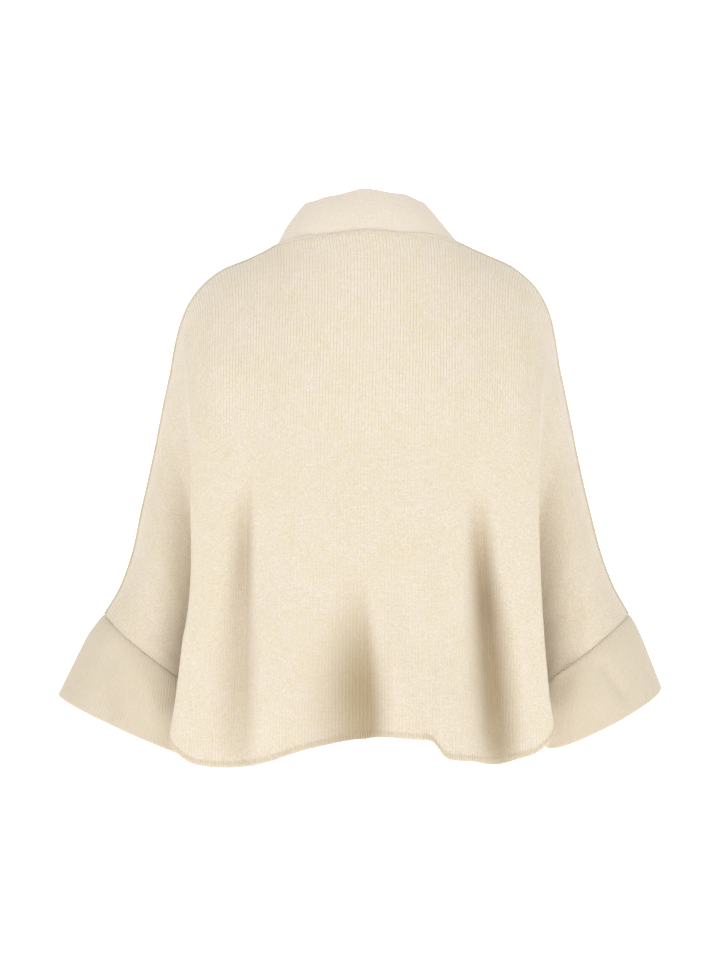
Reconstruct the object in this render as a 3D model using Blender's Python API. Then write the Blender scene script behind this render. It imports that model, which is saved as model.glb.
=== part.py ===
"""Knitted dolman cardigan with a ribbed stand collar and wide flared cuffs, worn open.

Metres, +Z up. The wearer faces -Y and their left hand is at +X. The origin lies
midway between the two neck points, where the shoulders carry the garment.
Every piece is a closed wall: a shaped outer face, and an inner face one cloth
thickness behind it. Tables are in millimetres.
"""

import bpy
import numpy as np

MM = 0.001
SEAM_GAP = 0.3
COLLAR_GAP = 0.6
BAND_GAP = 0.9

# Colours of the rib knit: body, and the heavier rib of the cuffs, collar and bands
CREAM = (0.86, 0.78, 0.63)
RIB_CREAM = (0.85, 0.77, 0.63)

# Cloth thickness
BODY_CLOTH = 2.8
CUFF_CLOTH = 4.6
COLLAR_CLOTH = 5.6
BAND_CLOTH = 4.2

# Rib relief on the cuffs and collar
RIB_HEIGHT = 1.1
CUFF_RIBS = 104
COLLAR_RIB_PITCH = 4.1

# The cut, measured across from the centre back
NECK_HALF = 130.0
FRONT_EDGE = 58.0
HEM_CORNER = 410.0
CUFF_SEAM = 660.0

# Neckline
NECK_WIDTH = 118.0
NECK_DEPTH = 57.0
NECK_ROUNDNESS = 0.6

# Front is a little deeper than the back
FRONT_DEPTH = 1.04

# Crest of the whole shape by place on the cut: over the neck hole, then shoulder and overarm
CREST = {
    "at": (0, 65, 130, 168, 204, 248, 282, 315, 345, 389, 460, 527, 578, 620, 660),
    "x": (0, 63, 118, 153, 188, 223, 239, 246, 251, 260.5, 275, 291, 305, 321, 341),
    "z": (74, 43.5, 0, -17, -32, -63, -96, -130, -162, -208, -282, -352, -405, -447, -483),
}

# Level of the front neck edge at each distance from the centre front
NECK_EDGE = {
    "x": (52, 58, 73, 92, 107, 118),
    "z": (-262, -232, -150, -78, -26, 0),
}

# One row for each wale (knit column) of the back, from the centre to the cuff seam.
# first: offset of the first handle from the top; second: second handle; end: hem or underarm.
BACK_WALES = {
    "at": (0, 70, 130, 190, 240, 290, 318, 345, 375, 410, 450, 490, 530, 600, 660),
    "first_x": (0, -2, -3, -12, -18, -20, -14, -12, -10, -10, -10, -10, -10, -8, -4),
    "first_y": (90, 94, 98, 104, 104, 96, 86, 82, 80, 80, 80, 80, 80, 78, 76),
    "first_z": (-12, -10, -6, -8, -10, -16, -16, -16, -16, -16, -14, -14, -12, -10, -4),
    "second_x": (0, 66, 120, 162, 196, 206, 190, 182, 184, 196, 208, 224, 240, 250, 228),
    "second_y": (124, 124, 124, 124, 124, 122, 94, 70, 52, 38, 46, 62, 76, 80, 80),
    "second_z": (-262, -262, -265, -285, -330, -400, -410, -420, -430, -442, -456, -476, -498, -548, -574),
    "end_x": (0, 70, 124, 172, 214, 250, 245, 221, 194, 170, 180, 195, 204, 210, 212),
    "end_y": (122, 122, 120, 116, 107, 90, 68, 56, 36, 0, 0, 0, 0, 0, 0),
    "end_z": (-635, -646, -663, -672, -668, -638, -620, -608, -598, -592, -548, -514, -514, -548, -582),
}

# Front wales between the front edge and the neck point
FRONT_WALES = {
    "at": (58, 80, 105),
    "first_x": (0, -1, -2),
    "first_y": (-92, -95, -97),
    "first_z": (-14, -12, -8),
    "second_x": (58, 80, 104),
    "second_y": (-136, -136, -134),
    "second_z": (-262, -262, -262),
    "end_x": (58, 80, 104),
    "end_y": (-134, -134, -131),
    "end_z": (-648, -650, -656),
}

# The hem on the wearer's right: a step beside the centre back, and a higher corner further in
RIGHT_HEM = {
    "at": (0, 30, 60, 84, 92, 100, 108, 122, 150, 190, 240, 290, 345, 660),
    "inward": (0, 0, 0, 0, 0, 0, 0, 0, 0, 3, 7, 10, 0, 0),
    "up": (0, 6, 10, 13, 8, 1, -1, 1, 4, 5, 11, 11, 4, 0),
}

# Lengthwise folds. at: where on the cut; inner, outer: half widths towards and away from the
# centre; lift: height, negative for a trough; start, full: levels where it begins and is whole;
# hem_share: what is left of it at the hem; lean: sideways drift down the fold.
BACK_FOLDS = (
    {"at": 169, "inner": 14, "outer": 36, "lift": -22, "start": -300, "full": -500, "hem_share": 0.7, "lean": 6},
    {"at": 138, "inner": 24, "outer": 14, "lift": 5, "start": -400, "full": -560, "hem_share": 0.8, "lean": 4},
    {"at": 26, "inner": 17, "outer": 30, "lift": -30, "start": -420, "full": -590, "hem_share": 0.3, "lean": -8},
    {"at": -174, "inner": 25, "outer": 23, "lift": -44, "start": -330, "full": -560, "hem_share": 0.3, "lean": -12},
    {"at": -18, "inner": 14, "outer": 28, "lift": 9, "start": -450, "full": -600, "hem_share": 0.8, "lean": -14},
    {"at": -98, "inner": 10, "outer": 34, "lift": 14, "start": -490, "full": -640, "hem_share": 1.3, "lean": 0},
)
FRONT_FOLDS = (
    {"at": 150, "inner": 18, "outer": 30, "lift": -24, "start": -300, "full": -560, "hem_share": 0.6, "lean": 6},
    {"at": 98, "inner": 20, "outer": 20, "lift": 8, "start": -380, "full": -600, "hem_share": 0.9, "lean": 0},
)


# Levels between which a fold fades to its share at the hem, and where its drift ends
FOLD_FADE = (-620, -668)
LEAN_END = -640

# How the worn garment has settled: the neck shifted to the wearer's right, the collar leaning
# back to the left, the left shoulder lower (drop) and the left arm further in (inward)
SETTLING = {
    "neck_shift": -4.5,
    "collar_lean": 6.0,
    "across": (0, 25, 60, 110, 168, 204, 248, 290),
    "drop": (0, 0.8, 2.2, 3.0, 4.6, 4.0, 2.0, 0),
    "level": (-510, -480, -450, -420, -380, -340, -150, -120, -90, -60, -30, 0),
    "inward": (0, 3, 4, 3.5, 2, 0, 0, 1, 3, 3.5, 2, 0),
}
# Levels and distances across over which each of these comes in
SHIFT_LEVELS = (-330, -60)
LEAN_LEVELS = (0, 60)
DROP_LEVELS = ((-150, -60), (0, 50))
NECK_REACH = 232
ARM_REACH = (150, 220)

# Cuff: lower opening relative to the seam ring, left (1) and right (-1)
CUFF_SHAPES = {
    1: {"flare": 57.0, "drop": 102.0, "inner_shift": 4.0, "inner_drop": 85.0, "sag": 4.0},
    -1: {"flare": 43.0, "drop": 93.0, "inner_shift": 22.0, "inner_drop": 71.0, "sag": 12.0},
}
CUFF_HALF_DEPTH = 80.0
CUFF_BELL = 4.0
CUFF_PROUD = 0.9

# Collar and front band: offset of the free edge from the seam, by distance from the centre back
BAND_EDGE = {
    "at": (0, 70, 130, 180, 260, 400, 900),
    "x": (0, -22, -39, -41, -42, -44, -44),
    "y": (-16, -12, 0, -8, -20, -3, -1),
    "z": (55, 52.7, 51.4, 42, 14, 0, 0),
}
COLLAR_END = 182.0
COLLAR_BELL = 4.0
NECK_STRETCH = 72 / 280
BAND_FIRST_STEP = 4.0

# Rows across the cuffs, collar and bands; a free edge is thinned past EDGE_START
CUFF_ROWS = (0, 0.4, 0.96, 1)
COLLAR_ROWS = (0, 0.5, 0.93, 1)
BAND_ROWS = (0, 0.5, 1)
EDGE_START = 0.98
EDGE_ROUNDING = 0.28
BASE_BEVEL = 3.0

# Mesh density: how many wales fall in each stretch of the cut, and rows down each piece
BACK_STRETCHES = (
    (0, 100, 9),
    (100, 122, 3),
    (122, 130, 4),
    (130, 250, 10),
    (250, 410, 16),
    (410, 530, 8),
    (530, 660, 5),
)
FRONT_STRETCHES = ((58, 130, 8), (130, 250, 8), (250, 410, 13), (410, 530, 7), (530, 660, 4))
BACK_ROWS = 14
HEM_CROWDING = 0.4
FRONT_ROWS = 13
INNER_STEP = 4

# Finely drawn curves that places are measured on
NECK_SEARCH = (0.75, 301)
RING_STEPS = 801
COLLAR_STEPS = 601
SEAM_LEAD = 8.0


def through(knots, values, at):
    """Smooth curve through a column of a table, without overshoot between its rows."""
    knots = np.asarray(knots, float)
    values = np.asarray(values, float)
    step = np.diff(knots)
    slope = np.diff(values) / step
    tangent = np.zeros(len(values))
    tangent[0] = slope[0]
    tangent[-1] = slope[-1]
    for row in range(1, len(values) - 1):
        if slope[row - 1] * slope[row] > 0:
            before = 2 * step[row] + step[row - 1]
            after = step[row] + 2 * step[row - 1]
            tangent[row] = (before + after) / (before / slope[row - 1] + after / slope[row])
    span = np.clip(np.searchsorted(knots, at, side="right") - 1, 0, len(step) - 1)
    u = (at - knots[span]) / step[span]
    rise = values[span] * (1 + 2 * u) * (1 - u) ** 2
    rise = rise + values[span + 1] * u * u * (3 - 2 * u)
    turn = tangent[span] * u * (1 - u) ** 2 - tangent[span + 1] * u * u * (1 - u)
    return rise + turn * step[span]


def smoothstep(low, high, value):
    u = np.clip((value - low) / (high - low), 0, 1)
    return u * u * (3 - 2 * u)


def crest_point(at):
    """Top of the whole shape above each wale."""
    reach = np.abs(at)
    across = through(CREST["at"], CREST["x"], reach) * np.where(at < 0, -1, 1)
    return np.stack([across, np.zeros_like(reach), level_of_crest(reach)], axis=-1)


def level_of_crest(reach):
    rows = np.array(CREST["at"], float)
    whole = np.concatenate([-rows[:0:-1], rows])
    level = np.array(CREST["z"], float)
    return through(whole, np.concatenate([level[:0:-1], level]), reach)


def past_back_neck(grid):
    """How far each point lies behind the back neckline."""
    inside = np.clip(1 - (grid[..., 0] / NECK_WIDTH) ** 2, 0, 1)
    return grid[..., 1] - NECK_DEPTH * inside ** NECK_ROUNDNESS


def past_front_neck(grid):
    """How far each point lies below the front neck edge."""
    reach = np.clip(np.abs(grid[..., 0]), NECK_EDGE["x"][0], NECK_WIDTH)
    return through(NECK_EDGE["x"], NECK_EDGE["z"], reach) - grid[..., 2]


def neck_share(at, curves, past):
    """Share of each wale that the neck opening cuts away."""
    fine = np.linspace(0, *NECK_SEARCH)
    beyond = past(wale_curves(*curves, fine))
    share = np.zeros(len(at))
    for wale in np.nonzero(np.abs(at) < NECK_HALF)[0]:
        step = np.argmax(beyond[wale] > 0)
        before, after = beyond[wale, step - 1], beyond[wale, step]
        share[wale] = fine[step - 1] + (fine[step] - fine[step - 1]) * before / (before - after)
    return share


def panel(at, table, past, rows):
    """Grid of one panel, its wales trimmed by the neck opening."""
    curves = (crest_point(at), *handles(table, at, crest_point))
    if table is BACK_WHOLE:
        right = at < 0
        curves[3][right, 0] += through(RIGHT_HEM["at"], RIGHT_HEM["inward"], -at[right])
        curves[3][right, 2] += through(RIGHT_HEM["at"], RIGHT_HEM["up"], -at[right])
    trimmed = neck_share(at, curves, past)[:, None]
    return wale_curves(*curves, trimmed + (1 - trimmed) * rows[None, :])


def handles(table, at, top_of):
    """First handle, second handle and end of each wale."""
    first_rows = np.stack([table["first_x"], table["first_y"], table["first_z"]], axis=-1)
    first_rows = first_rows + top_of(np.array(table["at"], float))
    first = np.stack([through(table["at"], first_rows[:, axis], at) for axis in range(3)], axis=-1)
    column = {key: through(table["at"], table[key], at) for key in table if key != "at"}
    second = np.stack([column["second_x"], column["second_y"], column["second_z"]], axis=-1)
    end = np.stack([column["end_x"], column["end_y"], column["end_z"]], axis=-1)
    return first, second, end


def mirrored(table):
    """The table continued over the centre to the other side."""
    whole = {}
    for key, values in table.items():
        flip = -1 if key == "at" or key.endswith("_x") else 1
        whole[key] = tuple(flip * value for value in reversed(values[1:])) + tuple(values)
    return whole


def front_table():
    """Front wales: own rows near the opening, the back's rows turned forward beyond them."""
    joined = {key: list(values) for key, values in FRONT_WALES.items()}
    first_shared = BACK_WALES["at"].index(NECK_HALF)
    for key, values in BACK_WALES.items():
        turn = -FRONT_DEPTH if key.endswith("_y") else 1
        joined[key] += [turn * value for value in values[first_shared:]]
    return joined


BACK_WHOLE = mirrored(BACK_WALES)
FRONT_WHOLE = front_table()


def wale_curves(top, first, second, end, rows):
    """Grid of points (wale, row) on cubic curves."""
    v = np.broadcast_to(rows, (len(top), rows.shape[-1]))[:, :, None]
    grid = (1 - v) ** 3 * top[:, None] + 3 * (1 - v) ** 2 * v * first[:, None]
    return grid + 3 * (1 - v) * v * v * second[:, None] + v ** 3 * end[:, None]


def normals_of(grid, outward, closed=False):
    """Unit normals of a grid, turned to agree with the outward hint at its middle."""
    if closed:
        across = np.roll(grid, -1, axis=0) - np.roll(grid, 1, axis=0)
    else:
        across = np.gradient(grid, axis=0)
    down = np.gradient(grid, axis=1)
    normal = np.cross(across, down)
    normal /= np.linalg.norm(normal, axis=2, keepdims=True)
    middle = normal[normal.shape[0] // 2, normal.shape[1] // 2]
    return normal if np.dot(middle, outward) > 0 else -normal


def fold_lift(folds, at, level):
    """Height of the lengthwise folds at each point of a panel."""
    lift = np.zeros_like(level)
    for fold in folds:
        depth = smoothstep(fold["start"], fold["full"], level)
        fade = 1 - (1 - fold["hem_share"]) * smoothstep(*FOLD_FADE, level)
        centre = fold["at"] + fold["lean"] * smoothstep(fold["start"], LEAN_END, level)
        away = (at[:, None] - centre) * np.sign(fold["at"])
        width = np.where(away < 0, fold["inner"], fold["outer"])
        lift += fold["lift"] * depth * fade * np.exp(-((away / width) ** 2))
    return lift


def wale_positions(stretches):
    """Where the grid's wales lie across one half of the cut."""
    marks = [np.linspace(low, high, count, endpoint=False) for low, high, count in stretches]
    return np.concatenate(marks + [[stretches[-1][1]]])


def row_positions(count):
    """Rows down a panel, closer together towards the hem."""
    even = np.linspace(0, 1, count + 1)
    return even + HEM_CROWDING * np.sin(np.pi * even) / np.pi


def back_surface():
    half = wale_positions(BACK_STRETCHES)
    at = np.concatenate([-half[:0:-1], half])
    grid = panel(at, BACK_WHOLE, past_back_neck, row_positions(BACK_ROWS))
    lift = fold_lift(BACK_FOLDS, at, grid[:, :, 2])
    return at, grid + normals_of(grid, (0, 1, 0)) * lift[:, :, None]


def front_surface():
    at = wale_positions(FRONT_STRETCHES)
    grid = panel(at, FRONT_WHOLE, past_front_neck, row_positions(FRONT_ROWS))
    lift = fold_lift(FRONT_FOLDS, at, grid[:, :, 2])
    return at, grid + normals_of(grid, (0, -1, 0)) * lift[:, :, None]


def wall(grid, thickness, outward, seam_wales):
    """Outer and inner grids; along a side seam the wall ends square to the seam plane."""
    normal = normals_of(grid, outward)
    for row, wales in seam_wales.items():
        normal[wales, row, 1] = 0
    normal /= np.linalg.norm(normal, axis=2, keepdims=True)
    return grid, grid - normal * thickness


def shell_faces(wales, rows):
    """Triangles of an open grid made a closed wall; inner points follow the outer ones."""
    faces = []
    inner = wales * rows

    def quad(a, b, c, d):
        faces.append((a, b, c))
        faces.append((a, c, d))

    for i in range(wales - 1):
        for j in range(rows - 1):
            a = i * rows + j
            b = a + rows
            quad(a, a + 1, b + 1, b)
            faces.append((inner + a, inner + b + 1, inner + a + 1))
            faces.append((inner + a, inner + b, inner + b + 1))
    for i in range(wales - 1):
        a = i * rows
        quad(a, a + rows, inner + a + rows, inner + a)
        a += rows - 1
        quad(a + rows, a, inner + a, inner + a + rows)
    for j in range(rows - 1):
        quad(j + 1, j, inner + j, inner + j + 1)
        a = (wales - 1) * rows + j
        quad(a, a + 1, inner + a + 1, inner + a)
    return faces


def add_piece(name, points, faces, colour):
    """A closed mesh object with its own material."""
    points = settled(np.asarray(points, float)) * MM
    faces = np.asarray(faces, int)
    corners = points[faces]
    volume = np.einsum("ij,ij->i", corners[:, 0], np.cross(corners[:, 1], corners[:, 2])).sum()
    if volume < 0:
        faces = faces[:, ::-1]
    mesh = bpy.data.meshes.new(name)
    mesh.from_pydata(points.tolist(), [], faces.tolist())
    mesh.update()
    material = bpy.data.materials.new(name)
    material.use_nodes = True
    shader = material.node_tree.nodes["Principled BSDF"]
    shader.inputs["Base Color"].default_value = (*colour, 1)
    shader.inputs["Roughness"].default_value = 0.9
    mesh.materials.append(material)
    piece = bpy.data.objects.new(name, mesh)
    bpy.context.scene.collection.objects.link(piece)
    return piece


def make_back():
    at, grid = back_surface()
    arms = np.abs(at) >= NECK_HALF
    sides = np.abs(at) >= HEM_CORNER
    grid[arms, 0, 1] += SEAM_GAP / 2
    grid[sides, -1, 1] += SEAM_GAP / 2
    outer, inner = wall(grid, BODY_CLOTH, (0, 1, 0), {0: arms, -1: sides})
    points = np.concatenate([outer.reshape(-1, 3), inner.reshape(-1, 3)])
    return add_piece("back", points, shell_faces(*grid.shape[:2]), CREAM)


def make_front(name, side):
    at, grid = front_surface()
    arms = at >= NECK_HALF
    sides = at >= HEM_CORNER
    grid[arms, 0, 1] -= SEAM_GAP / 2
    grid[sides, -1, 1] -= SEAM_GAP / 2
    outer, inner = wall(grid, BODY_CLOTH, (0, -1, 0), {0: arms, -1: sides})
    points = np.concatenate([outer.reshape(-1, 3), inner.reshape(-1, 3)])
    return add_piece(name, points * (side, 1, 1), shell_faces(*grid.shape[:2]), CREAM)


def ribbed_faces(columns, rows, step, closed):
    """Faces of a wall whose inner grid has one column for every few outer ones."""
    faces = []
    coarse = columns // step if closed else (columns - 1) // step + 1
    start = columns * rows

    def outer(i, j):
        return (i % columns) * rows + j

    def inner(i, j):
        return start + (i % coarse) * rows + j

    spans = columns if closed else columns - 1
    for i in range(spans):
        for j in range(rows - 1):
            faces.append((outer(i, j), outer(i, j + 1), outer(i + 1, j + 1)))
            faces.append((outer(i, j), outer(i + 1, j + 1), outer(i + 1, j)))
    for i in range(spans // step):
        for j in range(rows - 1):
            faces.append((inner(i, j), inner(i + 1, j + 1), inner(i, j + 1)))
            faces.append((inner(i, j), inner(i + 1, j), inner(i + 1, j + 1)))
        for j, turn in ((0, 1), (rows - 1, -1)):
            half = step // 2
            fan = [(outer(i * step + k, j), outer(i * step + k + 1, j), inner(i, j)) for k in range(half)]
            fan += [(outer(i * step + k, j), outer(i * step + k + 1, j), inner(i + 1, j)) for k in range(half, step)]
            fan.append((inner(i, j), outer(i * step + half, j), inner(i + 1, j)))
            faces += [face[::turn] for face in fan]
    if not closed:
        last = columns - 1
        for j in range(rows - 1):
            faces.append((outer(0, j + 1), outer(0, j), inner(0, j)))
            faces.append((outer(0, j + 1), inner(0, j), inner(0, j + 1)))
            faces.append((outer(last, j), outer(last, j + 1), inner(coarse - 1, j + 1)))
            faces.append((outer(last, j), inner(coarse - 1, j + 1), inner(coarse - 1, j)))
    return faces


def strip(seam, edge, rows, clearance):
    """Grid from a seam to a free edge, its first row held clear of the seam."""
    run = np.linalg.norm(edge - seam, axis=1)
    rise = np.maximum(rows[None, :], clearance / run[:, None])[:, :, None]
    return seam[:, None] * (1 - rise) + edge[:, None] * rise


def ribbed_wall(name, face, lining, normal, thickness, rows, step, closed, side):
    """Wall with raised ribs outside and a plain inside; its free edge is rounded off."""
    ribs = np.where(np.arange(face.shape[0]) % 2 == 0, 0.0, -RIB_HEIGHT)
    if not closed:
        ribs[0] = ribs[-1] = 0
    tuck = thickness * EDGE_ROUNDING * (rows > EDGE_START)
    outer = face + normal * (ribs[:, None] - tuck)[:, :, None]
    inner = (lining - normal * (thickness - tuck)[None, :, None])[::step]
    points = np.concatenate([outer.reshape(-1, 3), inner.reshape(-1, 3)])
    faces = ribbed_faces(face.shape[0], face.shape[1], step, closed)
    return add_piece(name, points * (side, 1, 1), faces, RIB_CREAM)


def even_steps(curve, count, closed):
    """Positions along a finely drawn curve that divide it evenly."""
    length = np.concatenate([[0], np.cumsum(np.linalg.norm(np.diff(curve, axis=0), axis=1))])
    marks = np.linspace(0, length[-1], count + closed)[: count]
    return np.interp(marks, length, np.linspace(0, 1, len(curve)))


def half_rings(at, rows):
    """Back and front wale at one place on the sleeve."""
    place = np.array([float(at)])
    back = panel(place, BACK_WHOLE, past_back_neck, rows)[0]
    front = panel(place, FRONT_WHOLE, past_front_neck, rows)[0]
    return back, front


def sleeve_ring(at, turn):
    """Points round the sleeve: down its back half and up its front half."""
    down = np.clip(2 * turn, 0, 1)
    up = np.clip(2 - 2 * turn, 0, 1)
    back = half_rings(at, down)[0]
    front = half_rings(at, up)[1]
    return np.where((turn <= 0.5)[:, None], back, front)


def cuff_opening(turn, shape):
    """Lower ring of the cuff, below and outside the sleeve ring."""
    seam = sleeve_ring(CUFF_SEAM, np.array([0.0, 0.5]))
    top = seam[0] + (shape["flare"], 0, -shape["drop"])
    end = seam[1] + (shape["inner_shift"], 0, -shape["inner_drop"])
    down = np.where(turn <= 0.5, 2 * turn, 2 - 2 * turn)[:, None]
    depth = np.where(turn <= 0.5, CUFF_HALF_DEPTH, -CUFF_HALF_DEPTH * FRONT_DEPTH)
    reach = 3 * down * (1 - down)
    swell = reach * depth[:, None] * (0, 1, 0) - reach * (0, 0, shape["sag"])
    share = down * down * (3 - 2 * down)
    return top * (1 - share) + end * share + swell


def make_cuff(name, side):
    """Tube with its ribs running down it, sewn to the sleeve ring."""
    fine = sleeve_ring(CUFF_SEAM, np.linspace(0, 1, RING_STEPS))
    turn = even_steps(fine, 2 * CUFF_RIBS, True)
    seam = sleeve_ring(CUFF_SEAM, turn)
    before = sleeve_ring(CUFF_SEAM - SEAM_LEAD, turn)
    round_ring = np.roll(seam, -1, axis=0) - np.roll(seam, 1, axis=0)
    seam_normal = np.cross(seam - before, round_ring)
    seam_normal /= np.linalg.norm(seam_normal, axis=1, keepdims=True)
    if seam_normal[0, 0] < 0:
        seam_normal = -seam_normal
    rows = np.array(CUFF_ROWS)
    opening = cuff_opening(turn, CUFF_SHAPES[side])
    face = strip(seam, opening, rows, SEAM_GAP)
    normal = normals_of(face, seam_normal[CUFF_RIBS], closed=True)
    normal[:, 0] = seam_normal
    bell = CUFF_PROUD + CUFF_BELL * np.sin(np.pi * np.sqrt(rows))
    face = face + normal * bell[None, :, None]
    ribbed_wall(name, face, face, normal, CUFF_CLOTH, rows, INNER_STEP, True, side)


def neck_seam(at):
    """The seam that the collar and bands are sewn to, by distance from the centre back."""
    reach = np.abs(at)
    top = np.array([0.0])
    behind = panel(np.minimum(reach, NECK_HALF), BACK_WHOLE, past_back_neck, top)[:, 0]
    across = np.clip(NECK_HALF - (reach - NECK_HALF) * NECK_STRETCH, FRONT_EDGE, NECK_HALF)
    before = panel(across, FRONT_WHOLE, past_front_neck, top)[:, 0]
    seam = np.where((reach < NECK_HALF)[:, None], behind, before)
    seam[:, 0] *= np.where(at < 0, -1, 1)
    return seam


def free_edge(at, seam):
    reach = np.abs(at)
    offset = np.stack([through(BAND_EDGE["at"], BAND_EDGE[key], reach) for key in ("x", "y", "z")], axis=-1)
    offset[:, 0] *= np.where(at < 0, -1, 1)
    return seam + offset


def make_collar():
    """Ribbed stand that leans in round the neck."""
    fine = np.linspace(-COLLAR_END, COLLAR_END, COLLAR_STEPS)
    curve = neck_seam(fine)
    length = np.linalg.norm(np.diff(curve, axis=0), axis=1).sum()
    ribs = 2 * int(round(length / COLLAR_RIB_PITCH / 2))
    share = even_steps(curve, 2 * ribs + 1, False)
    at = COLLAR_END * (2 * share - 1)
    seam = neck_seam(at)
    edge = free_edge(at, seam)
    rows = np.array(COLLAR_ROWS)
    face = strip(seam, edge, rows, COLLAR_GAP)
    normal = normals_of(face, (0, 1, 0))
    bell = normal * (COLLAR_BELL * np.sin(np.pi * rows))[None, :, None]
    lining = strip(seam, edge, rows, COLLAR_GAP + BASE_BEVEL) + bell
    ribbed_wall("collar", face + bell, lining, normal, COLLAR_CLOTH, rows, INNER_STEP, False, 1)


def make_band(name, side):
    """Plain band down one front edge, from the collar's end to the hem."""
    at, front = front_surface()
    upper = at[at < NECK_HALF][::-1]
    reach = NECK_HALF + (NECK_HALF - upper) / NECK_STRETCH
    start = COLLAR_END + BAND_GAP
    reach = np.concatenate([[start], reach[reach > start + BAND_FIRST_STEP]])
    seam = np.concatenate([neck_seam(reach), front[0, 1:]])
    below = np.cumsum(np.linalg.norm(np.diff(front[0], axis=0), axis=1))
    reach = np.concatenate([reach, reach[-1] + below])
    edge = free_edge(reach, seam)
    rows = np.array(BAND_ROWS)
    face = strip(seam, edge, rows, SEAM_GAP)
    normal = normals_of(face, (0, -1, 0))
    lining = strip(seam, edge, rows, SEAM_GAP + BASE_BEVEL) - normal * BAND_CLOTH
    points = np.concatenate([face.reshape(-1, 3), lining.reshape(-1, 3)])
    add_piece(name, points * (side, 1, 1), shell_faces(*face.shape[:2]), RIB_CREAM)


def settled(points):
    """The garment's slight unevenness as worn, left against right."""
    across = points[:, 0]
    level = points[:, 2]
    near_neck = 1 - smoothstep(NECK_WIDTH, NECK_REACH, np.abs(across))
    shift = SETTLING["neck_shift"] * smoothstep(*SHIFT_LEVELS, level)
    shift = near_neck * (shift + SETTLING["collar_lean"] * smoothstep(*LEAN_LEVELS, level))
    height = np.clip(level, SETTLING["level"][0], SETTLING["level"][-1])
    shift = shift - smoothstep(*ARM_REACH, across) * through(SETTLING["level"], SETTLING["inward"], height)
    reach = np.clip(across, SETTLING["across"][0], SETTLING["across"][-1])
    lowered = smoothstep(*DROP_LEVELS[0], level) * (1 - smoothstep(*DROP_LEVELS[1], level))
    drop = lowered * through(SETTLING["across"], SETTLING["drop"], reach)
    return points + shift[:, None] * (1, 0, 0) - drop[:, None] * (0, 0, 1)


def main():
    for old in list(bpy.data.objects):
        bpy.data.objects.remove(old)
    make_back()
    make_front("front_left", 1)
    make_front("front_right", -1)
    make_cuff("cuff_left", 1)
    make_cuff("cuff_right", -1)
    make_collar()
    make_band("band_left", 1)
    make_band("band_right", -1)


main()
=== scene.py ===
import math

import bpy
import numpy as np
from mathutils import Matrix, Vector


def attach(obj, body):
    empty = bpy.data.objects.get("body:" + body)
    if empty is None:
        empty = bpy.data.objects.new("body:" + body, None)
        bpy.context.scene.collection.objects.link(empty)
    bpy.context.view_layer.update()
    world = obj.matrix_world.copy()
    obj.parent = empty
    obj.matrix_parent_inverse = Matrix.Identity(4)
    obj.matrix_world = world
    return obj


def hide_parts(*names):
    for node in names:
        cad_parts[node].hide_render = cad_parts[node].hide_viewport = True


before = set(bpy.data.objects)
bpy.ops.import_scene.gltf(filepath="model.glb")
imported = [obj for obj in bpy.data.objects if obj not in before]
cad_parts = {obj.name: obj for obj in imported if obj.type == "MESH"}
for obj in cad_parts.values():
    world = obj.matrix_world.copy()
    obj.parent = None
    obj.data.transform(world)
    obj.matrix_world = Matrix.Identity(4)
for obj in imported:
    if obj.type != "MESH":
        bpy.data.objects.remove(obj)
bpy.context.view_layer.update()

mm = 0.001  # the cut's tables are in millimetres
print("frame loaded:", len(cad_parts), "nodes")

# the cut, measured across from the centre back along the cloth
cut = {
    "neckHalf": 130.0,
    "frontEdge": 58.0,
    "hemCorner": 410.0,
    "cuffSeam": 660.0,
    "seamGap": 0.3,
    "frontDepth": 1.04,  # the front is a little deeper than the back
    "neckWidth": 118.0,
    "neckDepth": 57.0,
    "neckRoundness": 0.6,
    "neckStretch": 72 / 280,
}
# the crest of the shoulder and sleeve, where back and front meet, by place on the cut
crest = {
    "at": (0, 65, 130, 168, 204, 248, 282, 315, 345, 389, 460, 527, 578, 620, 660),
    "x": (0, 63, 118, 153, 188, 223, 239, 246, 251, 260.5, 275, 291, 305, 321, 341),
    "z": (74, 43.5, 0, -17, -32, -63, -96, -130, -162, -208, -282, -352, -405, -447, -483),
}
# the front neck edge, from where the fronts hang straight up to the neck point
neckEdge = {
    "x": (52, 58, 73, 92, 107, 118),
    "z": (-262, -232, -150, -78, -26, 0),
}
# one row for each wale of the back: offset of the first handle from the crest, second handle, end
backWales = {
    "at": (0, 70, 130, 190, 240, 290, 318, 345, 375, 410, 450, 490, 530, 600, 660),
    "firstX": (0, -2, -3, -12, -18, -20, -14, -12, -10, -10, -10, -10, -10, -8, -4),
    "firstY": (90, 94, 98, 104, 104, 96, 86, 82, 80, 80, 80, 80, 80, 78, 76),
    "firstZ": (-12, -10, -6, -8, -10, -16, -16, -16, -16, -16, -14, -14, -12, -10, -4),
    "secondX": (0, 66, 120, 162, 196, 206, 190, 182, 184, 196, 208, 224, 240, 250, 228),
    "secondY": (124, 124, 124, 124, 124, 122, 94, 70, 52, 38, 46, 62, 76, 80, 80),
    "secondZ": (-262, -262, -265, -285, -330, -400, -410, -420, -430, -442, -456, -476, -498, -548, -574),
    "endX": (0, 70, 124, 172, 214, 250, 245, 221, 194, 170, 180, 195, 204, 210, 212),
    "endY": (122, 122, 120, 116, 107, 90, 68, 56, 36, 0, 0, 0, 0, 0, 0),
    "endZ": (-635, -646, -663, -672, -668, -638, -620, -608, -598, -592, -548, -514, -514, -548, -582),
}
frontWales = {
    "at": (58, 80, 105),
    "firstX": (0, -1, -2),
    "firstY": (-92, -95, -97),
    "firstZ": (-14, -12, -8),
    "secondX": (58, 80, 104),
    "secondY": (-136, -136, -134),
    "secondZ": (-262, -262, -262),
    "endX": (58, 80, 104),
    "endY": (-134, -134, -131),
    "endZ": (-648, -650, -656),
}
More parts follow.
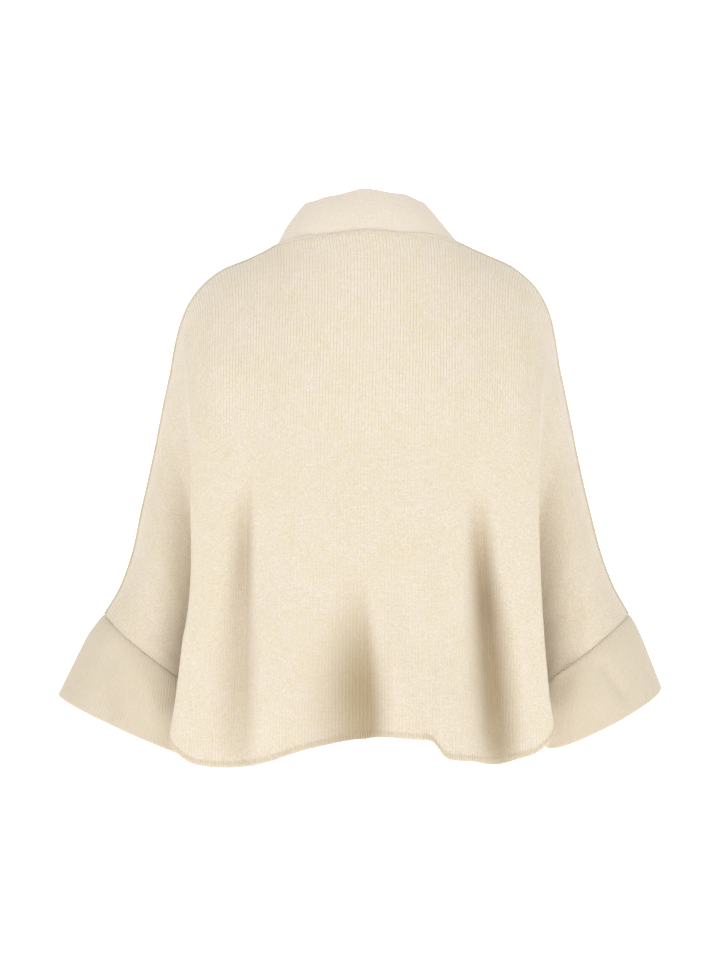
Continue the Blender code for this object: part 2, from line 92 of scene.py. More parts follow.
# what differs in the hem on the wearer's right: moved in, and stepped up beside the deepest trough
rightHem = {
    "at": (0, 30, 60, 84, 92, 100, 108, 122, 150, 190, 240, 290, 345, 660),
    "inward": (0, 0, 0, 0, 0, 0, 0, 0, 0, 3, 7, 10, 0, 0),
    "up": (0, 6, 10, 13, 8, 1, -1, 1, 4, 5, 11, 11, 4, 0),
}


def through(knots, values, at):
    # a smooth curve through a column of a table, with no overshoot between its rows
    knots = np.asarray(knots, float)
    values = np.asarray(values, float)
    step = np.diff(knots)
    slope = np.diff(values) / step
    tangent = np.zeros(len(values))
    tangent[0], tangent[-1] = slope[0], slope[-1]
    for row in range(1, len(values) - 1):
        if slope[row - 1] * slope[row] > 0:
            before = 2 * step[row] + step[row - 1]
            after = step[row] + 2 * step[row - 1]
            tangent[row] = (before + after) / (before / slope[row - 1] + after / slope[row])
    span = np.clip(np.searchsorted(knots, at, side="right") - 1, 0, len(step) - 1)
    u = (at - knots[span]) / step[span]
    rise = values[span] * (1 + 2 * u) * (1 - u) ** 2 + values[span + 1] * u * u * (3 - 2 * u)
    turn = tangent[span] * u * (1 - u) ** 2 - tangent[span + 1] * u * u * (1 - u)
    return rise + turn * step[span]


def smoothStep(low, high, value):
    u = np.clip((value - low) / (high - low), 0, 1)
    return u * u * (3 - 2 * u)


def crestPoint(at):
    reach = np.abs(at)
    across = through(crest["at"], crest["x"], reach) * np.where(at < 0, -1, 1)
    rows = np.array(crest["at"], float)
    level = np.array(crest["z"], float)
    whole = np.concatenate([-rows[:0:-1], rows])
    height = through(whole, np.concatenate([level[:0:-1], level]), reach)
    return np.stack([across, np.zeros_like(reach), height], axis=-1)


def pastBackNeck(grid):
    inside = np.clip(1 - (grid[..., 0] / cut["neckWidth"]) ** 2, 0, 1)
    return grid[..., 1] - cut["neckDepth"] * inside ** cut["neckRoundness"]


def pastFrontNeck(grid):
    reach = np.clip(np.abs(grid[..., 0]), neckEdge["x"][0], cut["neckWidth"])
    return through(neckEdge["x"], neckEdge["z"], reach) - grid[..., 2]


def bezier(points, rows):
    v = np.broadcast_to(rows, (len(points[0]), rows.shape[-1]))[:, :, None]
    top, first, second, end = (p[:, None] for p in points)
    return (1 - v) ** 3 * top + 3 * (1 - v) ** 2 * v * first + 3 * (1 - v) * v * v * second + v**3 * end


def mirrored(table):
    # a table of one side carried on to the other
    whole = {}
    for key, values in table.items():
        flip = -1 if key == "at" or key.endswith("X") else 1
        whole[key] = tuple(flip * value for value in reversed(values[1:])) + tuple(values)
    return whole


def turnedForward(table):
    # the back's sleeve and side, turned to the front, after the front's own wales
    joined = {key: list(values) for key, values in frontWales.items()}
    shared = table["at"].index(cut["neckHalf"])
    for key, values in table.items():
        turn = -cut["frontDepth"] if key.endswith("Y") else 1
        joined[key] += [turn * value for value in values[shared:]]
    return joined


backWhole = mirrored(backWales)
frontWhole = turnedForward(backWales)


def handles(table, at):
    firstRows = np.stack([table["firstX"], table["firstY"], table["firstZ"]], axis=-1)
    firstRows = firstRows + crestPoint(np.array(table["at"], float))
    first = np.stack([through(table["at"], firstRows[:, axis], at) for axis in range(3)], axis=-1)
    column = {key: through(table["at"], table[key], at) for key in table if key != "at"}
    second = np.stack([column["secondX"], column["secondY"], column["secondZ"]], axis=-1)
    end = np.stack([column["endX"], column["endY"], column["endZ"]], axis=-1)
    return first, second, end


neckSearch = {"reach": 0.75, "steps": 301}


def neckShare(at, points, past):
    # how far down each wale the neck's edge cuts it, as a share of the wale
    fine = np.linspace(0, neckSearch["reach"], neckSearch["steps"])
    share = np.zeros(len(at))
    inNeck = np.nonzero(np.abs(at) < cut["neckHalf"])[0]
    if len(inNeck) == 0:
        return share
    beyond = past(bezier([p[inNeck] for p in points], fine))
    step = np.maximum(np.argmax(beyond > 0, axis=1), 1)
    row = np.arange(len(inNeck))
    before, after = beyond[row, step - 1], beyond[row, step]
    share[inNeck] = fine[step - 1] + (fine[step] - fine[step - 1]) * before / (before - after)
    return share


def panel(at, table, past, rows):
    # points of a panel: a wale for each place on the cut, a point for each row
    points = [crestPoint(at), *handles(table, at)]
    if table is backWhole:
        right = at < 0
        points[3][right, 0] += through(rightHem["at"], rightHem["inward"], -at[right])
        points[3][right, 2] += through(rightHem["at"], rightHem["up"], -at[right])
    trimmed = neckShare(at, points, past)[:, None]
    return bezier(points, trimmed + (1 - trimmed) * rows[None, :])


def normalsOf(grid, outward, closed=False):
    if closed:
        across = np.roll(grid, -1, axis=0) - np.roll(grid, 1, axis=0)
    else:
        across = np.gradient(grid, axis=0)
    normal = np.cross(across, np.gradient(grid, axis=1))
    normal /= np.linalg.norm(normal, axis=2, keepdims=True) + 1e-12
    middle = normal[normal.shape[0] // 2, normal.shape[1] // 2]
    return normal if np.dot(middle, outward) > 0 else -normal


# how the worn cardigan has settled unevenly: the neck to the right, the left shoulder a little lower
settling = {
    "neckShift": -4.5, "neckOuter": 232, "neckLevels": (-330, -60), "collarLean": 5.0, "collarLevels": (-20, 30),
    "dropLevels": (-150, -60), "dropEnds": (0, 50), "sideReach": (150, 220),
    "across": (0, 25, 60, 110, 168, 204, 248, 290), "drop": (0, 0.8, 2.2, 3.0, 4.6, 4.0, 2.0, 0),
    "level": (-510, -480, -450, -420, -380, -340, -150, -120, -90, -60, -30, 0),
    "inward": (0, 3, 4, 3.5, 2, 0, 0, 1, 3, 3.5, 2, 0),
}


def settled(points):
    across, level = points[..., 0], points[..., 2]
    nearNeck = 1 - smoothStep(cut["neckWidth"], settling["neckOuter"], np.abs(across))
    shift = settling["neckShift"] * smoothStep(*settling["neckLevels"], level)
    shift = shift + settling["collarLean"] * smoothStep(*settling["collarLevels"], level)
    height = np.clip(level, settling["level"][0], settling["level"][-1])
    reach = np.clip(across, settling["across"][0], settling["across"][-1])
    lowered = smoothStep(*settling["dropLevels"], level) * (1 - smoothStep(*settling["dropEnds"], level))
    beside = smoothStep(*settling["sideReach"], across)
    moved = points.copy()
    moved[..., 0] += nearNeck * shift
    moved[..., 0] -= beside * through(settling["level"], settling["inward"], height)
    moved[..., 2] -= lowered * through(settling["across"], settling["drop"], reach)
    return moved


# lengthwise folds. at: its wale; inner, outer: half widths towards and away from the centre; lift: height, below
# nought in a trough; start, full: levels where it begins and is whole; hemShare: share of the lift left at the hem;
# lean: how far it has moved across by the hem; shade: how much painted shade darkens the trough's colour, shadeHem:
# share of that painted shade left at the hem, shadeEdge: below 1 where the painted shade spreads wider than the trough
backFolds = (
    {
        "at": 169, "inner": 15, "outer": 34, "lift": -22, "start": -270, "full": -440, "hemShare": 0.7, "lean": 6,
        "shade": 0.45, "shadeHem": 0.2,
    },
    {"at": 138, "inner": 24, "outer": 14, "lift": 5, "start": -400, "full": -560, "hemShare": 0.8, "lean": 4},
    {
        "at": 12, "inner": 14, "outer": 40, "lift": -27, "start": -400, "full": -585, "hemShare": 0.3, "lean": -17,
        "shade": 1.5, "shadeHem": 0.8, "shadeEdge": 0.6,
    },
    {
        "at": -155, "inner": 31, "outer": 25, "lift": -39, "start": -300, "full": -480, "hemShare": 0.3, "lean": -40,
        "shade": 1.35, "shadeHem": 0.7,
    },
    {"at": -28, "inner": 12, "outer": 30, "lift": 9, "start": -430, "full": -580, "hemShare": 0.8, "lean": -16},
    {"at": -98, "inner": 10, "outer": 34, "lift": 14, "start": -490, "full": -640, "hemShare": 1.3, "lean": 0},
)
frontFolds = (
    {
        "at": 150, "inner": 18, "outer": 30, "lift": -24, "start": -300, "full": -560, "hemShare": 0.6, "lean": 6,
        "shade": 0.6,
    },
    {"at": 98, "inner": 20, "outer": 20, "lift": 8, "start": -380, "full": -600, "hemShare": 0.9, "lean": 0},
)
foldEnds = {
    "fadeFrom": -620, "fadeTo": -668, "shadeFadeFrom": -560, "leanFull": -640, "leanMost": 1.1,
    "wideFrom": -620, "narrowest": 0.5, "widening": 0.6,  # a fold is narrow where it starts
}


def foldLift(folds, at, level):
    # how far the folds lift the cloth, and how much shade is painted into its colour in a trough
    lift, paintedShade = np.zeros_like(level), np.zeros_like(level)
    for fold in folds:
        depth = smoothStep(fold["start"], fold["full"], level)
        fade = 1 - (1 - fold["hemShare"]) * smoothStep(foldEnds["fadeFrom"], foldEnds["fadeTo"], level)
        paling = (1 - fold.get("shadeHem", 1)) * smoothStep(foldEnds["shadeFadeFrom"], foldEnds["fadeTo"], level)
        fallen = (level - fold["start"]) / (foldEnds["leanFull"] - fold["start"])
        centre = fold["at"] + fold["lean"] * np.clip(fallen, 0, foldEnds["leanMost"])
        away = (at[:, None] - centre) * np.sign(fold["at"])
        spread = foldEnds["narrowest"] + foldEnds["widening"] * smoothStep(fold["start"], foldEnds["wideFrom"], level)
        width = np.where(away < 0, fold["inner"], fold["outer"]) * spread
        profile = np.exp(-((away / width) ** 2))
        lift += fold["lift"] * depth * fade * profile
        paintedShade += fold.get("shade", 0) * depth * (1 - paling) * profile ** fold.get("shadeEdge", 1)
    return lift, paintedShade


# soft creases seen from the back, each along a line from one place to another (x, z), on the back half
creases = (
    {"from": (-283, -378), "to": (-283, -520), "width": 9, "lift": 3.5},
    {"from": (326, -518), "to": (318, -608), "width": 12, "lift": -5.5},
    {"from": (-297, -536), "to": (-333, -588), "width": 8, "lift": -4.5},
    {"from": (-262, -520), "to": (-250, -590), "width": 13, "lift": -3.5},
    {"from": (292, -536), "to": (262, -622), "width": 12, "lift": 2.5},
    {"from": (196, -140), "to": (152, -196), "width": 20, "lift": 3.0},
    {"from": (-150, -420), "to": (-143, -300), "width": 14, "lift": -4.0},
    {"from": (148, -420), "to": (158, -310), "width": 15, "lift": -4.0},
    {"from": (-92, -430), "to": (-90, -620), "width": 13, "lift": 3.5},
    {"from": (116, -440), "to": (124, -630), "width": 12, "lift": 3.5},
)
creaseEnds = {"starts": (-0.15, 0.3), "stops": (1.2, 0.75)}  # as shares of a crease's length
frontCreases = {"spread": 1.04, "rise": 12}  # on the front half they lie a little lower and nearer the centre


def creaseLift(grid):
    behind = grid[..., 1] > 0
    lift = np.zeros(grid.shape[:2])
    across = grid[..., 0] * np.where(behind, 1, frontCreases["spread"])
    place = np.stack([across, grid[..., 2] + np.where(behind, 0, frontCreases["rise"])], axis=-1)
    for crease in creases:
        start, way = np.array(crease["from"], float), np.subtract(crease["to"], crease["from"])
        share = ((place - start) @ way) / (way @ way)
        nearest = start + np.clip(share, 0, 1)[..., None] * way
        away = np.linalg.norm(place - nearest, axis=-1) / crease["width"]
        ends = smoothStep(*creaseEnds["starts"], share) * smoothStep(*creaseEnds["stops"], share)
        lift += crease["lift"] * np.exp(-(away**2)) * ends
    return lift


def runOf(grid):
    # the length of cloth from the top row to each row, along each wale
    steps = np.linalg.norm(np.diff(grid, axis=1), axis=2)
    return np.concatenate([np.zeros((len(grid), 1)), np.cumsum(steps, axis=1)], axis=1)


def loopFaces(columns, rows, closedAround):
    # quads of a grid whose rows close on themselves, and its columns if closedAround
    i = np.arange(columns if closedAround else columns - 1)
    a, b = np.meshgrid(i, np.arange(rows), indexing="ij")
    right, below = (a + 1) % columns, (b + 1) % rows
    quads = np.stack([a * rows + b, a * rows + below, right * rows + below, right * rows + b], axis=-1)
    return quads.reshape(-1, 4)


def facesOut(points, faces):
    # turned round if the closed shell would be inside out
    quads = np.array([face for face in faces if len(face) == 4])
    volume = 0.0
    for three in ((0, 1, 2), (0, 2, 3)):
        corners = points[quads[:, three]]
        volume += np.einsum("ij,ij->i", corners[:, 0], np.cross(corners[:, 1], corners[:, 2])).sum()
    return faces if volume > 0 else [face[::-1] for face in faces]


def meshObject(name, points, faces, vectors):
    mesh = bpy.data.meshes.new(name)
    mesh.from_pydata((settled(points) * mm).tolist(), [], faces)
    for key, values in vectors.items():
        layer = mesh.attributes.new(key, "FLOAT_VECTOR", "POINT")
        layer.data.foreach_set("vector", np.ascontiguousarray(values, np.float32).ravel())
    mesh.shade_smooth()
    thing = bpy.data.objects.new(name, mesh)
    bpy.context.scene.collection.objects.link(thing)
    return thing


rimAngles = (35, 90, 145)  # points round a turned edge, in degrees


def knitWall(name, grid, normal, thickness, lips, place, relief, closed=False, innerStep=3, paintedShade=0.0):
    # a cloth wall: outer rows, a turned lower edge, inner rows and a turned upper edge in one loop;
    # lips are how far each edge is rounded out, from 0 to 1, at the top and at the bottom
    run = runOf(grid)
    # the painted shade of troughs and sleeves goes along with each point, as an attribute for the wool's colour
    paintedShade = np.broadcast_to(paintedShade, run.shape)
    half = thickness / 2
    rows = grid.shape[1]
    innerRows = [*range(rows - 1, 0, -innerStep), 0]
    loop, where, deep = [], [], []

    def addRow(row, inward, along=0.0, reach=0.0):
        loop.append(grid[:, row] - normal[:, row] * inward + along * np.reshape(reach, (-1, 1)))
        sign = 1 if row else -1
        where.append(np.stack([place, run[:, row] + sign * reach, relief[:, row]], axis=-1))
        deep.append(np.stack([paintedShade[:, row]] * 3, axis=-1))

    def addRim(row, neighbour, lip, angles):
        along = grid[:, row] - grid[:, neighbour]
        along /= np.linalg.norm(along, axis=1, keepdims=True)
        for angle in np.radians(angles):
            addRow(row, half - half * math.cos(angle), along, lip * half * math.sin(angle))

    for row in range(rows):
        addRow(row, 0.0)
    addRim(rows - 1, rows - 2, lips[1], rimAngles)
    for row in innerRows:
        addRow(row, thickness)
    addRim(0, 1, lips[0], rimAngles[::-1])
    points = np.stack(loop, axis=1)
    depth = points.shape[1]
    faces = loopFaces(len(grid), depth, closed).tolist()
    if not closed:
        inner = rows + len(rimAngles)
        cap = [[*range(rows - 1, inner + 1)]]
        for k in range(len(innerRows) - 1):
            cap.append([*range(innerRows[k + 1], innerRows[k] + 1), inner + k, inner + k + 1])
        cap.append([*range(inner + len(innerRows) - 1, depth), 0])
        last = (len(grid) - 1) * depth
        faces += [face[::-1] for face in cap] + [[last + corner for corner in face] for face in cap]
    flat = points.reshape(-1, 3)
    where = np.stack(where, axis=1).reshape(-1, 3) * (mm, mm, 1)
    deep = np.stack(deep, axis=1).reshape(-1, 3)
    return meshObject(name, flat, facesOut(flat, faces), {"knitAt": where, "paintedShade": deep})


class Wire:
    # a socket that can stand in a sum
    def __init__(self, recipe, socket):
        self.recipe, self.socket = recipe, socket

    def __add__(self, other):
        return self.recipe.math("ADD", self, other)

    def __sub__(self, other):
        return self.recipe.math("SUBTRACT", self, other)

    def __rsub__(self, other):
        return self.recipe.math("SUBTRACT", other, self)

    def __mul__(self, other):
        return self.recipe.math("MULTIPLY", self, other)

    def __truediv__(self, other):
        return self.recipe.math("DIVIDE", self, other)

    def __pow__(self, other):
        return self.recipe.math("POWER", self, other)


class Recipe:
    # a node tree, and the one way that nodes get into it
    def __init__(self, tree):
        self.tree = tree

    def node(self, kind, settings=(), sockets=()):
        made = self.tree.nodes.new(kind)
        for key, value in dict(settings).items():
            setattr(made, key, value)
        for key, value in dict(sockets).items():
            self.put(value, made.inputs[key])
        return made

    def put(self, value, socket):
        if isinstance(value, Wire):
            self.tree.links.new(value.socket, socket)
        else:
            socket.default_value = value

    def wire(self, kind, settings=(), sockets=(), out=0):
        return Wire(self, self.node(kind, settings, sockets).outputs[out])

    def math(self, operation, *values):
        return self.wire("ShaderNodeMath", {"operation": operation}, enumerate(values))

    def vector(self, operation, *values):
        return self.wire("ShaderNodeVectorMath", {"operation": operation}, enumerate(values))

    def parts(self, vector):
        split = self.node("ShaderNodeSeparateXYZ", (), {0: vector})
        return [Wire(self, socket) for socket in split.outputs]

    def joined(self, x, y, z):
        return self.wire("ShaderNodeCombineXYZ", (), {0: x, 1: y, 2: z})


def newTree(name, inputs):
    # a geometry node tree with named inputs; gives the recipe and its inputs as wires
    tree = bpy.data.node_groups.new(name, "GeometryNodeTree")
    tree.interface.new_socket("Geometry", in_out="INPUT", socket_type="NodeSocketGeometry")
    for key, kind in inputs.items():
        tree.interface.new_socket(key, in_out="INPUT", socket_type="NodeSocket" + kind)
    tree.interface.new_socket("Geometry", in_out="OUTPUT", socket_type="NodeSocketGeometry")
    recipe = Recipe(tree)
    start = recipe.node("NodeGroupInput")
    return recipe, {socket.name: Wire(recipe, socket) for socket in start.outputs if socket.name}


def ended(recipe, geometry, material):
    # every tree ends in Realize Instances and Set Material
    real = recipe.wire("GeometryNodeRealizeInstances", (), {"Geometry": geometry})
    finished = recipe.wire("GeometryNodeSetMaterial", (), {"Geometry": real, "Material": material})
    last = recipe.node("NodeGroupOutput")
    recipe.put(finished, last.inputs[0])
    return recipe.tree


driftScale = {"across": 40, "along": 16}  # how quickly a knit's unevenness changes, per metre


def ribTree():
    # raises knit ribs along the wales, with a slow unevenness
    recipe, given = newTree("knitRibs", {
        "Rib pitch": "Float", "Rib height": "Float", "Unevenness": "Float", "Seed": "Float", "Material": "Material",
    })
    at = recipe.wire("GeometryNodeInputNamedAttribute", {"data_type": "FLOAT_VECTOR"}, {"Name": "knitAt"})
    place, run, relief = recipe.parts(at)
    wave = recipe.math("COSINE", place / given["Rib pitch"] * (2 * math.pi))
    where = recipe.joined(place * driftScale["across"], run * driftScale["along"], given["Seed"])
    drift = recipe.wire("ShaderNodeTexNoise", {}, {"Vector": where, "Scale": 1.0, "Detail": 1.0})
    rise = wave * 0.5 * given["Rib height"] * relief + (drift - 0.5) * given["Unevenness"]
    normal = recipe.wire("GeometryNodeInputNormal")
    offset = recipe.wire("ShaderNodeVectorMath", {"operation": "SCALE"}, {0: normal, "Scale": rise})
    raised = recipe.wire("GeometryNodeSetPosition", (), {"Geometry": given["Geometry"], "Offset": offset})
    return ended(recipe, raised, given["Material"])


stitchBall = {"Segments": 8, "Rings": 6, "Radius": 0.5}


def stitchTree():
    # one row of stitches along a line: a rounded yarn leg at each pitch, slanted by Slant
    recipe, given = newTree("stitchRow", {
        "Pitch": "Float", "Length": "Float", "Width": "Float", "Height": "Float", "Slant": "Float",
        "Shift": "Float", "Lift": "Float", "Jitter": "Float", "Seed": "Int", "Material": "Material",
    })
    line = recipe.wire("GeometryNodeMeshToCurve", (), {"Mesh": given["Geometry"]})
    points = recipe.wire("GeometryNodeCurveToPoints", {"mode": "LENGTH"}, {"Curve": line, "Length": given["Pitch"]})
    face = recipe.wire("GeometryNodeInputNamedAttribute", {"data_type": "FLOAT_VECTOR"}, {"Name": "faceWay"})
    down = recipe.wire("GeometryNodeInputNamedAttribute", {"data_type": "FLOAT_VECTOR"}, {"Name": "downWay"})

    def scaled(vector, factor):
        return recipe.wire("ShaderNodeVectorMath", {"operation": "SCALE"}, {0: vector, "Scale": factor})

    offset = recipe.vector("ADD", scaled(down, given["Shift"]), scaled(face, given["Lift"]))
    placed = recipe.wire("GeometryNodeSetPosition", (), {"Geometry": points, "Offset": offset})
    ball = recipe.wire("GeometryNodeMeshUVSphere", (), stitchBall)
    smooth = recipe.wire("GeometryNodeSetShadeSmooth", (), {"Geometry": ball})
    spread = recipe.wire("FunctionNodeRandomValue", {"data_type": "FLOAT"}, {"Seed": given["Seed"]}, out=1)
    wobble = (spread - 0.5) * given["Jitter"]
    turned = recipe.wire(
        "FunctionNodeAxesToRotation", {"primary_axis": "Z", "secondary_axis": "X"},
        {"Primary Axis": face, "Secondary Axis": down})
    lean = recipe.wire(
        "FunctionNodeAxisAngleToRotation", (), {"Axis": (0, 0, 1), "Angle": given["Slant"] + wobble})
    turned = recipe.wire(
        "FunctionNodeRotateRotation", {"rotation_space": "LOCAL"}, {"Rotation": turned, "Rotate By": lean})
    size = recipe.joined(given["Length"], given["Width"], given["Height"])
    rows = recipe.wire("GeometryNodeInstanceOnPoints", (), {
        "Points": placed, "Instance": smooth, "Rotation": turned, "Scale": size})
    return ended(recipe, rows, given["Material"])


knitRibs = ribTree()
stitchRow = stitchTree()
seamAngle = math.radians(62)  # a square seam end stays crisp, a rib or rounded rim soft


def grown(thing, tree, values, material):
    # runs a tree on a piece, and keeps the result as its plain mesh
    modifier = thing.modifiers.new("grow", "NODES")
    modifier.node_group = tree
    sockets = {item.name: item.identifier for item in tree.interface.items_tree if item.in_out == "INPUT"}
    for key, value in {**values, "Material": material}.items():
        modifier[sockets[key]] = value
    graph = bpy.context.evaluated_depsgraph_get()
    old = thing.data
    made = bpy.data.meshes.new_from_object(thing.evaluated_get(graph), depsgraph=graph)
    thing.modifiers.remove(modifier)
    thing.data = made
    bpy.data.meshes.remove(old)
    made.name = thing.name
    made.set_sharp_from_angle(angle=seamAngle)
    return thing


def ribbed(thing, look, knit, seed, material):
    return grown(thing, knitRibs, {
        "Rib pitch": look["ribPitch"], "Rib height": knit["ribHeight"], "Unevenness": knit["unevenness"], "Seed": seed,
    }, material)


# what every wool here shares: slubs lie along the courses, and stitches shift from wale to wale
yarn = {
    "streakAcross": 48, "streakAlong": 330, "columnShift": 0.38, "beadInGroove": 0.4, "waveHeight": 0.35,
    "beadHeight": 0.25,
}


def wool(name, look):
    # brushed wool: uneven yarn colour, painted shade in the rib grooves, between stitches and in troughs, soft fibre
    # bump
    material = bpy.data.materials.new(name)
    material.use_nodes = True
    recipe = Recipe(material.node_tree)
    shader = material.node_tree.nodes["Principled BSDF"]
    at = recipe.wire("ShaderNodeAttribute", {"attribute_name": "knitAt"}, out="Vector")
    place, run, relief = recipe.parts(at)
    here = recipe.wire("ShaderNodeTexCoord", out="Object")
    count = place / look["ribPitch"]
    wave = recipe.math("COSINE", count * (2 * math.pi))
    crown = recipe.math("MAXIMUM", wave, 0.0)
    groove = recipe.math("MAXIMUM", wave * -1, 0.0) ** look["grooveEdge"]
    column = recipe.math("FLOOR", count + 0.5)
    turns = run / look["coursePitch"] + count * look["beadSlant"] + column * yarn["columnShift"]
    beads = recipe.math("COSINE", turns * (2 * math.pi)) * 0.5 + 0.5
    slubs = recipe.joined(place * yarn["streakAcross"], run * yarn["streakAlong"], 0.0)
    streaks = recipe.wire("ShaderNodeTexNoise", {}, {"Vector": slubs, "Scale": 1.0, "Detail": 1.0})
    cloud = recipe.wire("ShaderNodeTexNoise", {}, {"Vector": here, "Scale": look["cloudScale"], "Detail": 2.0})
    fibre = recipe.wire("ShaderNodeTexNoise", {}, {"Vector": here, "Scale": look["fibreScale"], "Detail": 1.0})
    blend = (cloud - 0.5) * look["cloud"] + (streaks - 0.5) * look["streak"] + 0.5
    colour = recipe.wire("ShaderNodeMix", {"data_type": "RGBA"}, {
        "Factor": blend, "A": (*look["pale"], 1), "B": (*look["warm"], 1)}, out=2)
    beaded = beads * yarn["beadInGroove"] + (1 - yarn["beadInGroove"])
    # painted shade: grooves between ribs and gaps between stitches are darkened towards the deep colour
    knit = (groove * beaded + crown * beads * look["beadShade"]) * relief * look["grooveShade"]
    colour = recipe.wire("ShaderNodeMix", {"data_type": "RGBA"}, {
        "Factor": knit + (fibre - 0.5) * look["fibreShade"] + (1 - relief) * look["plainShade"],
        "A": colour, "B": (*look["deep"], 1)}, out=2)
    # painted shade: troughs and sleeves are darkened towards the trough colour
    trough = recipe.wire("ShaderNodeAttribute", {"attribute_name": "paintedShade"}, out="Fac")
    colour = recipe.wire("ShaderNodeMix", {"data_type": "RGBA"}, {
        "Factor": trough * look["troughShade"], "A": colour, "B": (*look["trough"], 1)}, out=2)
    recipe.put(colour, shader.inputs["Base Color"])
    stitch = wave * yarn["waveHeight"] - beads * yarn["beadHeight"]
    height = stitch * relief * look["ribBump"] + fibre * look["fibreBump"]
    bump = recipe.wire("ShaderNodeBump", {}, {"Height": height, "Distance": 0.001, "Strength": 1.0})
    recipe.put(bump, shader.inputs["Normal"])
    for key, value in look["shader"].items():
        shader.inputs[key].default_value = value
    return material


woolShader = {
    "Roughness": 0.95, "Specular IOR Level": 0.15, "Sheen Weight": 0.35, "Sheen Roughness": 0.45,
    "Sheen Tint": (1.0, 0.97, 0.93, 1.0),
}
bodyLook = {
    "ribPitch": 4.4 * mm, "coursePitch": 3.1 * mm, "beadSlant": 0.6, "grooveEdge": 2.2,
    "cloudScale": 22.0, "fibreScale": 480.0, "streak": 2.6, "cloud": 1.1,
    "grooveShade": 0.70, "beadShade": 0.4, "fibreShade": 0.75, "plainShade": 0.30,
    "ribBump": 0.5, "fibreBump": 0.9, "troughShade": 0.55,
    # deep: the colour of the painted shade in rib grooves and between stitches, and of the darker yarn tone
    "pale": (0.775, 0.695, 0.61), "warm": (0.745, 0.67, 0.505), "deep": (0.50, 0.405, 0.285),
    # trough: the colour of the painted shade in troughs and on the sleeves
    "trough": (0.37, 0.275, 0.14), "shader": woolShader,
}
cuffLook = {
    **bodyLook, "ribPitch": 3.8 * mm, "grooveShade": 0.16, "ribBump": 0.25,
    "pale": (0.63, 0.552, 0.445), "warm": (0.61, 0.532, 0.402), "streak": 1.2, "fibreBump": 0.45,
}
collarLook = {
    **bodyLook, "ribPitch": 4.1 * mm, "coursePitch": 2.6 * mm, "grooveShade": 0.16, "ribBump": 0.25, "fibreShade": 0.35,
    "pale": (0.735, 0.655, 0.57), "warm": (0.70, 0.625, 0.51), "streak": 1.0,
}
bodyWool = wool("bodyWool", bodyLook)
cuffWool = wool("cuffWool", cuffLook)
collarWool = wool("collarWool", collarLook)
print("materials ready")

# back and fronts: ribs stand out at the top, are brushed flat lower down and show again in troughs and at the hem
columnsPerRib = 4
panelMesh = {"columnStep": bodyLook["ribPitch"] / mm / columnsPerRib, "rows": 50, "crowding": 0.4, "edgeRow": 0.0035}
bodyKnit = {
    "thickness": 2.4, "ribHeight": 0.5 * mm, "unevenness": 0.9 * mm, "seed": 3.0,
    "strongAbove": -150, "faintBelow": -300, "faintRelief": 0.24,
    "troughRelief": 0.35, "hemFrom": -560, "hemFull": -640, "hemRelief": 0.16,
    # sleeveShade: painted shade, how far the sleeves are darkened towards the trough colour
    "sleeveFrom": 380, "sleeveWhole": 470, "sleeveRelief": 0.38, "sleeveShade": 0.14,
    "seamFade": 5.0,  # ribs sink away at a seam
}


def panelRows():
    # rows crowded towards both edges
    even = np.linspace(0, 1, panelMesh["rows"] + 1)
    rows = even + panelMesh["crowding"] * np.sin(np.pi * even) / np.pi
    return np.sort(np.concatenate([rows, [panelMesh["edgeRow"], 1 - panelMesh["edgeRow"]]]))


def sleeveShare(at):
    return smoothStep(bodyKnit["sleeveFrom"], bodyKnit["sleeveWhole"], np.abs(at))[:, None]


def brushed(level):
    return smoothStep(bodyKnit["strongAbove"], bodyKnit["faintBelow"], level)


def reliefOf(grid, at):
    level = grid[..., 2]
    faint = bodyKnit["faintRelief"]
    low = faint + (bodyKnit["sleeveRelief"] - faint) * sleeveShare(at)
    relief = 1 - (1 - low) * brushed(level)
    relief += bodyKnit["hemRelief"] * smoothStep(bodyKnit["hemFrom"], bodyKnit["hemFull"], level)
    run = runOf(grid)
    toTop = np.where((np.abs(at) >= cut["neckHalf"])[:, None], run, bodyKnit["seamFade"])
    toEnd = np.where((np.abs(at) >= cut["hemCorner"])[:, None], run[:, -1:] - run, bodyKnit["seamFade"])
    toCuff = np.broadcast_to((cut["cuffSeam"] - np.abs(at))[:, None], run.shape)
    nearest = np.minimum(np.minimum(toTop, toEnd), toCuff)
    return relief * smoothStep(0, bodyKnit["seamFade"], nearest)


def makePanel(name, at, table, past, folds, outward, side):
    grid = panel(at, table, past, panelRows())
    lift, paintedShade = foldLift(folds, at, grid[:, :, 2])
    # painted shade: the sleeves below the shoulder are darkened in colour like a trough
    paintedShade += bodyKnit["sleeveShade"] * sleeveShare(at) * brushed(grid[:, :, 2])
    placed = grid * (side, 1, 1)
    lift = lift + creaseLift(placed)
    grid = grid + normalsOf(grid, outward) * lift[:, :, None]
    normal = normalsOf(grid, outward)
    arms = np.abs(at) >= cut["neckHalf"]
    sides = np.abs(at) >= cut["hemCorner"]
    for edge, wales in ((0, arms), (-1, sides)):
        grid[wales, edge, 1] = outward[1] * cut["seamGap"] / 2
        normal[wales, edge, 1] = 0
    normal /= np.linalg.norm(normal, axis=2, keepdims=True)
    lips = [np.where(arms, 0.0, 1.0), np.where(sides, 0.0, 1.0)]
    place = np.arange(len(at)) * panelMesh["columnStep"]
    grid, normal = grid * (side, 1, 1), normal * (side, 1, 1)
    relief = np.clip(reliefOf(grid, at) + bodyKnit["troughRelief"] * paintedShade, 0, 1)
    thing = knitWall(name, grid, normal, bodyKnit["thickness"], lips, place, relief, paintedShade=paintedShade)
    ribbed(thing, bodyLook, bodyKnit, bodyKnit["seed"] + side, bodyWool)
    return thing, grid, normal


def dressed(thing, node):
    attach(thing, "root")
    if node:
        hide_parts(node)


def cutSize(grid, step):
    # the longest wale, and the area of wales laid side by side, a step apart
    lengths = runOf(grid)[:, -1] * mm
    return lengths.max(), float(lengths.sum() * step * mm)


